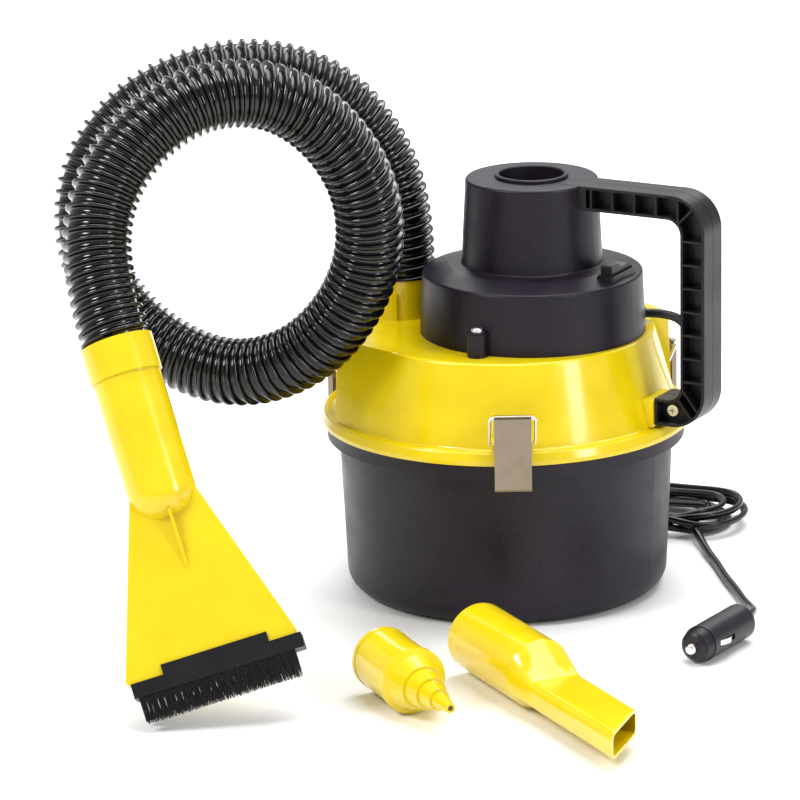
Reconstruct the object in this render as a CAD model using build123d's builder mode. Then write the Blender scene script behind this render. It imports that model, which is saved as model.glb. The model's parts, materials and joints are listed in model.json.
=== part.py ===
from build123d import *

import os
from math import cos, pi, radians, sin, tan

# A small 12 V wet/dry canister vacuum with its hose, its tools and its power
# cord. Millimetres, +Z up. The origin is on the floor, on the tank's axis, and
# the carrying handle stands on the +X side. Side walls that lean are frustums.

# ---------------------------------------------------------------- dimensions

WALL = 2.6                    # moulded wall thickness of tank, lid and cover
SHAFT_GAP = 0.05              # radial clearance of every pin in its hole
BODY_GAP = 0.3                # clearance between pieces that move apart

# tank
TANK_FOOT_RADIUS = 95.5
TANK_TOP_RADIUS = 99.7
TANK_FOOT_ROUND = 12.0
TANK_HEIGHT = 102.0
LIP_RADIUS = 106.7
LIP_BOTTOM = 93.0
LIP_SKIRT = 2.4

# lid
LID_FLANGE_BOTTOM = 102.5
LID_FLANGE_RADIUS = 110.0
LID_FLANGE_EDGE = 105.0
LEDGE_RADIUS = 108.3
LEDGE_HEIGHT = 110.0
LID_FOOT_RADIUS = 102.5
DECK_RADIUS = 89.0
DECK_HEIGHT = 158.0
DECK_THICKNESS = 3.0
DECK_BEVEL = 2.0
BOSS_ANGLES = (-60.0, 60.0, 180.0)
REAR_BOSS_ANGLES = BOSS_ANGLES[1:]
BOSS_HALF_WIDTH = 26.0
BOSS_FOOT_RADIUS = 101.8
BOSS_TOP_RADIUS = 99.5
BOSS_ROOT_RADIUS = 80.0
SPIGOT_OUTER = 96.4
SPIGOT_INNER = 93.8
SPIGOT_BOTTOM = 96.0
SEAL_OUTER = 103.5
SEAL_INNER = 99.5
SEAL_HEIGHT = 1.5

# motor cover
COVER_X = 19.0
DRUM_FOOT_RADIUS = 66.9
DRUM_TOP_RADIUS = 65.2
DRUM_TOP = 194.4
TOWER_FOOT_RADIUS = 41.75
TOWER_FOOT = 200.0
TOWER_TOP_RADIUS = 39.0
TOWER_TOP = 250.7
COVER_BOSS_OFFSET = 70.0
COVER_BOSS_RADIUS = 5.8
COVER_BOSS_TOP = 173.0
COVER_SCREW_ANGLES = (-90.0, 90.0)

# air outlet on the tower
OUTLET_OUTER = 21.7
OUTLET_BORE = 19.1
OUTLET_RISE = 2.0
OUTLET_DEPTH = 26.0
OUTLET_SEAT = 1.5
HUB_HEIGHT = 4.0
HUB_WALL = 2.2
HUB_RADIUS = 6.0

# hose port on the lid
PORT_X = -68.8
PORT_OUTER = 19.1
PORT_BORE = 16.0
PORT_TOP = 182.0

# handle
HANDLE_HALF_WIDTH = 12.0
HANDLE_PARTING = 0.4
GRIP_INNER_X = 121.5
GRIP_OUTER_X = 137.0
ARM_TOP = 251.0
ARM_BOTTOM = 236.4
ARM_ROOT_X = 43.0
FOOT_TOP = 128.6
FOOT_BOTTOM = 112.3
BRACKET_FACE_X = 104.6
HANDLE_SKIN = 1.8
HANDLE_RIB = 1.2
HANDLE_RIB_PITCH = 14.0
HANDLE_POCKET = 8.5

# toggle latches
LATCH_PIVOT_RADIUS = 104.5
LATCH_PIVOT_HEIGHT = 114.0
LATCH_BAR_RADIUS = 114.0
LATCH_BAR_HEIGHT = 132.4
WIRE_RADIUS = 1.0
BAIL_HALF_WIDTH = 13.2
PIN_END = 8.8
PLATE_HALF_WIDTH = 10.7
PLATE_THICKNESS = 1.2
PLATE_FACE_RADIUS = 116.2
PLATE_BOTTOM = 88.4
HOOK_RADIUS = 103.6
CURL_RADIUS = 2.2

# rocker switch on the cover's shoulder
SWITCH_X = 74.5
SWITCH_LENGTH = 31.0
SWITCH_DEPTH = 10.0
ROCKER_HALF_LENGTH = 13.0
SWITCH_WIDTH = 11.0
SWITCH_PIVOT_HEIGHT = 199.0

# motor, impeller and filter inside
MOTOR_BODY_RADIUS = 17.5
MOTOR_BODY_BOTTOM = 168.0
MOTOR_BODY_TOP = 214.0
SHAFT_RADIUS = 1.6
SHAFT_BOTTOM = 120.0
IMPELLER_RADIUS = 40.0
IMPELLER_BOTTOM = 124.0
IMPELLER_HEIGHT = 14.0
PLATE_HEIGHT = 106.0
FILTER_RADIUS = 36.0
CAGE_RADIUS = 30.0
CAGE_BOTTOM = 46.0
FLOAT_RADIUS = 17.0

# hose and brush nozzle
HOSE_RADIUS = 20.0
NOZZLE_ROLL = -33.4
NOZZLE_TUBE_RADIUS = 19.4
NOZZLE_TUBE_BORE = 16.0
NOZZLE_TUBE_START = 104.7
NOZZLE_TUBE_END = 188.6
NOZZLE_COLLAR_RADIUS = 20.6
NOZZLE_COLLAR_END = 209.5

# loose tools on the floor
CREVICE_END = Vector(65.5, -158.0, 20.0)
CREVICE_HEADING = -35.2
CREVICE_RADIUS = 20.0
CREVICE_WALL = 2.0
INFLATOR_END = Vector(32.9, -212.7, 19.0)
INFLATOR_HEADING = -37.7
INFLATOR_RADIUS = 19.0

# plug on the floor
PLUG_RADIUS = 10.5
PLUG_LENGTH = 48.0

# power cord
CORD_RADIUS = 2.75
GLAND_RADIUS = 4.2
GLAND_DEPTH = 12.0
HANK_CENTRE = Vector(5.0, 143.5, 0.0)
HANK_HEADING = 6.0
HANK_REACH = 42.0
HANK_MEAN_RADIUS = 27.0
HANK_HALF_WIDTH = 14.0
HANK_HEIGHT = 18.0

# The hose's corner points, from the port's top to the nozzle's collar. Each
# run's ends lie outside the rounded line.
HOSE_ROUTE = [
    Vector(-69, 0, 182),
    Vector(-69, 0, 222),
    Vector(-81, -7, 263),
    Vector(-104, -22, 296),
    Vector(-137, -45, 310),
    Vector(-171, -69, 306),
    Vector(-200, -92, 287),
    Vector(-218, -111, 253),
    Vector(-216, -121, 212),
    Vector(-195, -123, 176),
    Vector(-161, -119, 151),
    Vector(-121, -113, 140),
    Vector(-81, -107, 152),
    Vector(-51, -102, 181),
    Vector(-33, -101, 219),
    Vector(-31, -107, 260),
    Vector(-44, -124, 297),
    Vector(-68, -148, 322),
    Vector(-98, -178, 324),
    Vector(-122, -207, 304),
    Vector(-134, -231, 271),
    Vector(-127, -248, 232),
    Vector(-109, -257, 197),
]

# The cord's first stretch: out of the drum, over the lid's edge behind the
# grip, down past the latch and to the floor behind the tank.
CORD_ROUTE = [
    Vector(71, 44, 163),
    Vector(83, 54, 162),
    Vector(91, 62, 153),
    Vector(94, 70, 137),
    Vector(91, 75, 117),
    Vector(85, 79, 97),
    Vector(72, 87, 80),
    Vector(56, 97, 66),
    Vector(46, 108, 50),
    Vector(42, 115, 32),
    Vector(34, 119, 16),
    Vector(20, 120, 8),
]

# The lead from the hank to the plug, along the floor.
LEAD_ROUTE = [
    Vector(62, 126, 8),
    Vector(75, 111, 5),
    Vector(90, 91, 3.5),
    Vector(105, 73, 3),
    Vector(121, 51, 3),
    Vector(138, 30, 3.5),
    Vector(152, 11, 4),
    Vector(165, -6, 6.5),
    Vector(175, -23, 10.5),
    Vector(174, -41, 10.5),
]


# ------------------------------------------------------------------- helpers

def write(builder, label):
    """Label a finished piece and write it to its own STEP file."""
    builder.part.label = label
    export_step(builder.part, f"parts/{label}.step")


def radial_plane(angle):
    """The plane of a side profile: local X points outward, local Y is up."""
    turn = radians(angle)
    outward = (cos(turn), sin(turn), 0)
    sideways = (sin(turn), -cos(turn), 0)
    return Plane(origin=(0, 0, 0), x_dir=outward, z_dir=sideways)


def cover_plane(height=0.0):
    """A level plane centred on the motor cover's own axis."""
    return Plane(origin=(COVER_X, 0, height))


def cover_axis():
    return Axis((COVER_X, 0, 0), (0, 0, 1))


def heading_plane(origin, heading):
    """A plane across a lying tool: its normal runs along the tool, local Y is up."""
    turn = radians(heading)
    along = Vector(cos(turn), sin(turn), 0)
    sideways = Vector(-sin(turn), cos(turn), 0)
    return Plane(origin=origin, x_dir=sideways, z_dir=along * -1)


def lying_plane(origin, heading):
    """The upright plane through a lying tool: local X runs along it, local Y is up."""
    turn = radians(heading)
    return Plane(origin=origin, x_dir=(cos(turn), sin(turn), 0), z_dir=(sin(turn), -cos(turn), 0))


def route_radii(route):
    """The largest tangent arc that each corner of a route has room for."""
    radii = []
    for before, here, after in zip(route, route[1:], route[2:]):
        turn = (here - before).get_angle(after - here)
        run = min((here - before).length, (after - here).length)
        radii.append(0.45 * run / tan(radians(turn) / 2))
    return radii


def sweep_cord(route, radius, name):
    """A round tube along a route of straight runs and tangent arcs."""
    radii = route_radii(route)
    with BuildPart() as tube:
        with BuildLine() as line:
            FilletPolyline(*route, radius=radii)
        path = line.wires()[0]
        with BuildSketch(Plane(origin=path @ 0, z_dir=path % 0)):
            Circle(radius)
        sweep(path=path)
    measure = tube.part.volume / (pi * radius ** 2 * path.length)
    print(name, "length", round(path.length), "volume over section times length", round(measure, 3))
    print(name, "radii", [round(radius_here) for radius_here in radii])
    return tube


os.makedirs("parts", exist_ok=True)

# ---------------------------------------------------------------------- tank

with BuildPart() as tank:
    with BuildSketch(Plane.XZ):
        with BuildLine():
            FilletPolyline(
                (0, 0),
                (TANK_FOOT_RADIUS, 0),
                (TANK_TOP_RADIUS, LIP_BOTTOM + LIP_SKIRT),
                (TANK_TOP_RADIUS, TANK_HEIGHT - LIP_SKIRT),
                (LIP_RADIUS - LIP_SKIRT, TANK_HEIGHT - LIP_SKIRT),
                (LIP_RADIUS - LIP_SKIRT, LIP_BOTTOM),
                (LIP_RADIUS, LIP_BOTTOM),
                (LIP_RADIUS, TANK_HEIGHT),
                (TANK_TOP_RADIUS - WALL, TANK_HEIGHT),
                (TANK_FOOT_RADIUS - WALL, WALL),
                (0, WALL),
                radius=[0, TANK_FOOT_ROUND, 0, 0.8, 0.8, 0.4, 0.6, 0.8, 0.4,
                        TANK_FOOT_ROUND - WALL, 0],
                close=True,
            )
        make_face()
    revolve(axis=Axis.Z)
write(tank, "tank")

with BuildPart() as lid_seal:
    with BuildSketch(Plane.XY.offset(TANK_HEIGHT)):
        Circle(SEAL_OUTER)
        Circle(SEAL_INNER, mode=Mode.SUBTRACT)
    extrude(amount=SEAL_HEIGHT)
write(lid_seal, "lid_seal")

# ----------------------------------------------------------------------- lid

deck_inside = DECK_HEIGHT - DECK_THICKNESS

with BuildPart() as lid:
    # the frustum wall, its flange and the spigot that centres it in the tank
    with BuildSketch(Plane.XZ):
        with BuildLine():
            FilletPolyline(
                (0, DECK_HEIGHT),
                (DECK_RADIUS, DECK_HEIGHT),
                (LID_FOOT_RADIUS, LEDGE_HEIGHT),
                (LEDGE_RADIUS, LEDGE_HEIGHT),
                (LID_FLANGE_RADIUS, LID_FLANGE_EDGE),
                (LID_FLANGE_RADIUS, LID_FLANGE_BOTTOM),
                (SPIGOT_OUTER, LID_FLANGE_BOTTOM),
                (SPIGOT_OUTER, SPIGOT_BOTTOM),
                (0, SPIGOT_BOTTOM),
                radius=[0, DECK_BEVEL, 1.5, 1.2, 1.0, 0.5, 0, 0, 0],
                close=True,
            )
        make_face()
    revolve(axis=Axis.Z)
    # the flat-faced bosses behind the two rear latches
    for angle in REAR_BOSS_ANGLES:
        with BuildSketch(radial_plane(angle)):
            with BuildLine():
                FilletPolyline(
                    (BOSS_ROOT_RADIUS, LEDGE_HEIGHT - 1),
                    (BOSS_FOOT_RADIUS, LEDGE_HEIGHT - 1),
                    (BOSS_TOP_RADIUS, DECK_HEIGHT),
                    (BOSS_ROOT_RADIUS, DECK_HEIGHT),
                    radius=[0, 0, DECK_BEVEL, 0],
                    close=True,
                )
            make_face()
        extrude(amount=BOSS_HALF_WIDTH, both=True)
    # the two raised rear corners, wider at the deck's back than the frustum
    for side in (-1, 1):
        with BuildSketch(Plane.XY.offset(LEDGE_HEIGHT - 1)):
            with BuildLine():
                Polyline(
                    (-35.2, side * 96.6),
                    (-70.5, side * 81.5),
                    (-91.5, side * 25.0),
                    (-60.0, side * 25.0),
                    (-25.0, side * 70.0),
                    close=True,
                )
            make_face()
        with BuildSketch(Plane.XY.offset(DECK_HEIGHT)):
            with BuildLine():
                Polyline(
                    (-30.4, side * 83.5),
                    (-73.0, side * 72.0),
                    (-86.5, side * 25.0),
                    (-60.0, side * 25.0),
                    (-25.0, side * 70.0),
                    close=True,
                )
            make_face()
        loft(ruled=True)
    # the handle's bracket
    with BuildSketch(Plane.XZ):
        with BuildLine():
            Polyline(
                (88, 111),
                (BRACKET_FACE_X, 111),
                (BRACKET_FACE_X, 127),
                (88, 127),
                close=True,
            )
        make_face()
    extrude(amount=HANDLE_HALF_WIDTH + 1.6, both=True)
    # the hose port's collar, with its small locating rib
    with BuildSketch(Plane(origin=(PORT_X, 0, DECK_HEIGHT - 1))):
        Circle(PORT_OUTER)
    extrude(amount=PORT_TOP - DECK_HEIGHT + 1)
    with BuildSketch(Plane(origin=(PORT_X, 0, DECK_HEIGHT - 1))):
        with PolarLocations(PORT_OUTER, 1, start_angle=-75):
            Rectangle(3.4, 2.4)
    extrude(amount=18)
    # latch lugs on the ledge, one pair of bored blocks for each bail
    for angle in BOSS_ANGLES:
        with BuildSketch(radial_plane(angle)):
            with BuildLine():
                FilletPolyline(
                    (BOSS_ROOT_RADIUS + 16, LEDGE_HEIGHT - 1),
                    (LATCH_PIVOT_RADIUS + 3, LEDGE_HEIGHT - 1),
                    (LATCH_PIVOT_RADIUS + 3, LATCH_PIVOT_HEIGHT + 3),
                    (BOSS_ROOT_RADIUS + 16, LATCH_PIVOT_HEIGHT + 3),
                    radius=[0, 0, 2.8, 0],
                    close=True,
                )
            make_face()
        extrude(amount=BAIL_HALF_WIDTH - WIRE_RADIUS - BODY_GAP, both=True)
    # the room inside for the fan, the motor's opening and the hose's bore
    with BuildSketch(Plane.XZ):
        with BuildLine():
            Polyline(
                (0, SPIGOT_BOTTOM - 1),
                (SPIGOT_INNER, SPIGOT_BOTTOM - 1),
                (SPIGOT_INNER, LEDGE_HEIGHT - 6),
                (LID_FOOT_RADIUS - 2 * WALL, LEDGE_HEIGHT),
                (DECK_RADIUS - WALL, deck_inside),
                (0, deck_inside),
                close=True,
            )
        make_face()
    revolve(axis=Axis.Z, mode=Mode.SUBTRACT)
    # the seal's groove in the flange's underside
    with BuildSketch(Plane.XY.offset(TANK_HEIGHT)):
        Circle(SEAL_OUTER)
        Circle(SEAL_INNER, mode=Mode.SUBTRACT)
    extrude(amount=SEAL_HEIGHT, mode=Mode.SUBTRACT)
    with BuildSketch(cover_plane(DECK_HEIGHT + 1)):
        Circle(46)
    extrude(amount=-DECK_THICKNESS - 2, mode=Mode.SUBTRACT)
    with BuildSketch(Plane(origin=(PORT_X, 0, PORT_TOP))):
        Circle(PORT_BORE)
    extrude(amount=-PORT_TOP + LEDGE_HEIGHT, mode=Mode.SUBTRACT)
    # cross holes for the bails' pins
    for angle in BOSS_ANGLES:
        with BuildSketch(radial_plane(angle)):
            with Locations((LATCH_PIVOT_RADIUS, LATCH_PIVOT_HEIGHT)):
                Circle(WIRE_RADIUS + SHAFT_GAP)
        extrude(amount=BAIL_HALF_WIDTH, both=True, mode=Mode.SUBTRACT)
    # pilot holes for the cover's screws
    for angle in COVER_SCREW_ANGLES:
        with BuildSketch(cover_plane(DECK_HEIGHT)):
            with PolarLocations(COVER_BOSS_OFFSET, 1, start_angle=angle):
                Circle(1.9 + SHAFT_GAP)
        extrude(amount=-DECK_THICKNESS, mode=Mode.SUBTRACT)
write(lid, "lid")

# --------------------------------------------------------------- motor cover

shoulder_inside = DRUM_TOP - WALL
cord_exit_way = (CORD_ROUTE[1] - CORD_ROUTE[0]).normalized()
tower_inside = TOWER_TOP - WALL

with BuildPart() as motor_cover:
    with BuildSketch(Plane(origin=(COVER_X, 0, 0), x_dir=(1, 0, 0), z_dir=(0, -1, 0))):
        with BuildLine():
            FilletPolyline(
                (DRUM_FOOT_RADIUS, DECK_HEIGHT),
                (DRUM_TOP_RADIUS, DRUM_TOP),
                (TOWER_FOOT_RADIUS + 8, TOWER_FOOT - 1.2),
                (TOWER_FOOT_RADIUS, TOWER_FOOT),
                (TOWER_TOP_RADIUS, TOWER_TOP),
                (OUTLET_OUTER, TOWER_TOP),
                (OUTLET_OUTER, tower_inside),
                (TOWER_TOP_RADIUS - WALL, tower_inside),
                (TOWER_FOOT_RADIUS - WALL, TOWER_FOOT - WALL),
                (DRUM_TOP_RADIUS - WALL, shoulder_inside),
                (DRUM_FOOT_RADIUS - WALL, DECK_HEIGHT),
                radius=[0, 1.6, 4.0, 1.2, 1.8, 0, 0, 1.0, 1.0, 1.0, 0],
                close=True,
            )
        make_face()
    revolve(axis=cover_axis())
    # screw bosses on the drum, with webs that tie them to its wall
    for angle in COVER_SCREW_ANGLES:
        with BuildSketch(cover_plane(DECK_HEIGHT)):
            with PolarLocations(COVER_BOSS_OFFSET, 1, start_angle=angle):
                Circle(COVER_BOSS_RADIUS)
            with PolarLocations(COVER_BOSS_OFFSET - 4, 1, start_angle=angle):
                Rectangle(5, 2 * COVER_BOSS_RADIUS)
        extrude(amount=COVER_BOSS_TOP - DECK_HEIGHT - 1)
        with BuildSketch(cover_plane(COVER_BOSS_TOP - 1)):
            with PolarLocations(COVER_BOSS_OFFSET, 1, start_angle=angle):
                Circle(COVER_BOSS_RADIUS - 0.8)
        extrude(amount=1)
        with BuildSketch(cover_plane(COVER_BOSS_TOP)):
            with PolarLocations(COVER_BOSS_OFFSET, 1, start_angle=angle):
                Circle(1.9 + SHAFT_GAP)
        extrude(amount=DECK_HEIGHT - COVER_BOSS_TOP, mode=Mode.SUBTRACT)
    # the handle arm's seat, cut into the tower's top edge
    with BuildSketch(Plane.XZ):
        with BuildLine():
            Polyline(
                (ARM_ROOT_X, ARM_BOTTOM),
                (COVER_X + TOWER_FOOT_RADIUS, ARM_BOTTOM),
                (COVER_X + TOWER_FOOT_RADIUS, TOWER_TOP + 1),
                (ARM_ROOT_X, TOWER_TOP + 1),
                close=True,
            )
        make_face()
    extrude(amount=HANDLE_HALF_WIDTH, both=True, mode=Mode.SUBTRACT)
    # the rocker switch's window in the shoulder
    with BuildSketch(Plane(origin=(SWITCH_X, 0, TOWER_FOOT + 2))):
        Rectangle(SWITCH_WIDTH, SWITCH_LENGTH)
    extrude(amount=-16, mode=Mode.SUBTRACT)
    # the cord gland's hole through the drum
    with BuildSketch(Plane(origin=CORD_ROUTE[0], z_dir=cord_exit_way)):
        Circle(GLAND_RADIUS)
    extrude(amount=GLAND_DEPTH, both=True, mode=Mode.SUBTRACT)
write(motor_cover, "motor_cover")

# the air outlet's socket: a tube with a spoked hub at its foot
with BuildPart() as outlet_socket:
    with BuildSketch(cover_plane(TOWER_TOP - OUTLET_DEPTH)):
        Circle(OUTLET_OUTER)
        Circle(OUTLET_BORE, mode=Mode.SUBTRACT)
    extrude(amount=OUTLET_DEPTH + OUTLET_RISE)
    chamfer(outlet_socket.faces().sort_by(Axis.Z)[-1].edges(), 0.6)
    with BuildSketch(cover_plane(TOWER_TOP - OUTLET_DEPTH)):
        Circle(OUTLET_BORE + 1)
        Circle(OUTLET_BORE - OUTLET_SEAT, mode=Mode.SUBTRACT)
        with PolarLocations(OUTLET_BORE / 2 + 1, 4, start_angle=45):
            Rectangle(OUTLET_BORE, HUB_WALL)
        Circle(HUB_RADIUS)
        Circle(HUB_RADIUS - HUB_WALL, mode=Mode.SUBTRACT)
    extrude(amount=HUB_HEIGHT)
write(outlet_socket, "outlet_socket")

# pan-head screws that hold the cover down on the lid
for index, angle in enumerate(COVER_SCREW_ANGLES, start=1):
    with BuildPart() as cover_screw:
        with BuildSketch(cover_plane(COVER_BOSS_TOP)):
            with PolarLocations(COVER_BOSS_OFFSET, 1, start_angle=angle):
                Circle(3.6)
        extrude(amount=2.4)
        fillet(cover_screw.faces().sort_by(Axis.Z)[-1].edges(), 1.4)
        with BuildSketch(cover_plane(COVER_BOSS_TOP + 2.4)):
            with PolarLocations(COVER_BOSS_OFFSET, 1, start_angle=angle):
                Rectangle(3.8, 0.8)
                Rectangle(0.8, 3.8)
        extrude(amount=-1.2, mode=Mode.SUBTRACT)
        with BuildSketch(cover_plane(COVER_BOSS_TOP)):
            with PolarLocations(COVER_BOSS_OFFSET, 1, start_angle=angle):
                Circle(1.9)
        extrude(amount=deck_inside - COVER_BOSS_TOP)
    write(cover_screw, f"cover_screw_{index}")

# ------------------------------------------------------------- rocker switch

# The housing hangs in the window; the rocker turns on a pin along X.
with BuildPart() as switch_housing:
    with BuildSketch(Plane(origin=(SWITCH_X, 0, SWITCH_PIVOT_HEIGHT - SWITCH_DEPTH))):
        RectangleRounded(SWITCH_WIDTH - 0.4, SWITCH_LENGTH - 0.4, 1.6)
    extrude(amount=SWITCH_DEPTH + 0.5)
    with BuildSketch(Plane(origin=(SWITCH_X, 0, SWITCH_PIVOT_HEIGHT - SWITCH_DEPTH + 1.2))):
        Rectangle(SWITCH_WIDTH - 2.8, SWITCH_LENGTH - 2.8)
    extrude(amount=SWITCH_DEPTH, mode=Mode.SUBTRACT)
    with BuildSketch(Plane.YZ.offset(SWITCH_X)):
        with Locations((0, SWITCH_PIVOT_HEIGHT - 3)):
            Circle(1.2)
    extrude(amount=SWITCH_WIDTH / 2 - 0.4, both=True)
write(switch_housing, "switch_housing")

with BuildPart() as rocker:
    with BuildSketch(Plane.YZ.offset(SWITCH_X)):
        with BuildLine():
            FilletPolyline(
                (-ROCKER_HALF_LENGTH, SWITCH_PIVOT_HEIGHT - 3),
                (-ROCKER_HALF_LENGTH, SWITCH_PIVOT_HEIGHT + 6.0),
                (-7.5, SWITCH_PIVOT_HEIGHT + 7.0),
                (0, SWITCH_PIVOT_HEIGHT + 3.0),
                (7.0, SWITCH_PIVOT_HEIGHT + 4.2),
                (ROCKER_HALF_LENGTH, SWITCH_PIVOT_HEIGHT + 1.5),
                (ROCKER_HALF_LENGTH, SWITCH_PIVOT_HEIGHT - 1.0),
                (0, SWITCH_PIVOT_HEIGHT - 6.5),
                radius=[1.0, 0.8, 1.6, 6.0, 2.0, 0.8, 0.6, 3.0],
                close=True,
            )
        make_face()
    extrude(amount=(SWITCH_WIDTH - 3.6) / 2, both=True)
    with BuildSketch(Plane.YZ.offset(SWITCH_X)):
        with Locations((0, SWITCH_PIVOT_HEIGHT - 3)):
            Circle(1.2 + SHAFT_GAP)
    extrude(amount=SWITCH_WIDTH, both=True, mode=Mode.SUBTRACT)
write(rocker, "rocker")

# -------------------------------------------------------------------- handle

handle_outline = [
    (ARM_ROOT_X, ARM_BOTTOM),
    (GRIP_INNER_X, ARM_BOTTOM),
    (GRIP_INNER_X, FOOT_TOP),
    (BRACKET_FACE_X, FOOT_TOP),
    (BRACKET_FACE_X, FOOT_BOTTOM),
    (GRIP_OUTER_X, FOOT_BOTTOM),
    (GRIP_OUTER_X, ARM_TOP),
    (ARM_ROOT_X, ARM_TOP),
]
handle_rounds = [0.6, 9.0, 8.0, 0.6, 0.6, 21.0, 22.0, 0.6]
grip_middle = (GRIP_INNER_X + GRIP_OUTER_X) / 2
arm_middle = (ARM_TOP + ARM_BOTTOM) / 2
foot_middle = (FOOT_TOP + FOOT_BOTTOM) / 2

with BuildSketch(Plane.XZ) as handle_pocket:
    # the cells' outline is the handle's outline drawn in by the skin
    with BuildLine():
        FilletPolyline(
            (COVER_X + TOWER_FOOT_RADIUS, ARM_BOTTOM + HANDLE_SKIN),
            (GRIP_INNER_X + HANDLE_SKIN, ARM_BOTTOM + HANDLE_SKIN),
            (GRIP_INNER_X + HANDLE_SKIN, FOOT_TOP - HANDLE_SKIN),
            (BRACKET_FACE_X + HANDLE_SKIN, FOOT_TOP - HANDLE_SKIN),
            (BRACKET_FACE_X + HANDLE_SKIN, FOOT_BOTTOM + HANDLE_SKIN),
            (GRIP_OUTER_X - HANDLE_SKIN, FOOT_BOTTOM + HANDLE_SKIN),
            (GRIP_OUTER_X - HANDLE_SKIN, ARM_TOP - HANDLE_SKIN),
            (COVER_X + TOWER_FOOT_RADIUS, ARM_TOP - HANDLE_SKIN),
            radius=[0, 10.5, 9.5, 0, 0, 19.0, 20.0, 0],
            close=True,
        )
    make_face()
    # cross ribs of the grip and of the arm, and a diagonal in each corner
    grip_cells = int((ARM_BOTTOM - FOOT_TOP) // HANDLE_RIB_PITCH)
    with Locations((grip_middle, (ARM_BOTTOM + FOOT_TOP) / 2)):
        with GridLocations(1, HANDLE_RIB_PITCH, 1, grip_cells):
            Rectangle(20, HANDLE_RIB, mode=Mode.SUBTRACT)
    with Locations((92, arm_middle)):
        with GridLocations(HANDLE_RIB_PITCH, 1, 5, 1):
            Rectangle(HANDLE_RIB, 20, mode=Mode.SUBTRACT)
    with Locations((grip_middle, arm_middle)):
        Rectangle(30, HANDLE_RIB, rotation=45, mode=Mode.SUBTRACT)
    with Locations((grip_middle - 3, foot_middle + 1), (grip_middle + 2, foot_middle + 4)):
        Rectangle(34, HANDLE_RIB, rotation=-52, mode=Mode.SUBTRACT)

pocket_floor = HANDLE_HALF_WIDTH - HANDLE_POCKET
for label, side in (("handle_front", 1), ("handle_rear", -1)):
    with BuildPart() as handle_half:
        # Plane.XZ's normal is -Y, the side that faces forwards
        with BuildSketch(Plane.XZ.offset(side * HANDLE_PARTING / 2)):
            with BuildLine():
                FilletPolyline(*handle_outline, radius=handle_rounds, close=True)
            make_face()
        extrude(amount=side * (HANDLE_HALF_WIDTH - HANDLE_PARTING / 2))
        outer_face = handle_half.faces().sort_by(Axis.Y)[0 if side > 0 else -1]
        fillet(outer_face.edges(), 0.5)
        cells = handle_pocket.sketch.moved(Location((0, -side * pocket_floor, 0)))
        extrude(cells, amount=side * (HANDLE_POCKET + 1), mode=Mode.SUBTRACT)
        # screw holes near the arm's root and through the foot
        with BuildSketch(Plane.XZ):
            with Locations((ARM_ROOT_X + 9, arm_middle), (BRACKET_FACE_X + 9, foot_middle)):
                Circle(1.6 + SHAFT_GAP)
        extrude(amount=side * (HANDLE_HALF_WIDTH + 1), mode=Mode.SUBTRACT)
    write(handle_half, label)

for index, (x, z) in enumerate(((ARM_ROOT_X + 9, arm_middle), (BRACKET_FACE_X + 9, foot_middle)), start=1):
    shoulder = HANDLE_HALF_WIDTH if index == 1 else pocket_floor
    with BuildPart() as handle_screw:
        with BuildSketch(Plane.XZ.offset(-shoulder)):
            with Locations((x, z)):
                Circle(1.6)
        extrude(amount=2 * shoulder)
        if index == 2:
            with BuildSketch(Plane.XZ.offset(shoulder)):
                with Locations((x, z)):
                    Circle(3.4)
                    Rectangle(3.6, 0.8, mode=Mode.SUBTRACT)
                    Rectangle(0.8, 3.6, mode=Mode.SUBTRACT)
            extrude(amount=2.0)
    write(handle_screw, f"handle_screw_{index}")

# ------------------------------------------------------------------- latches


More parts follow.
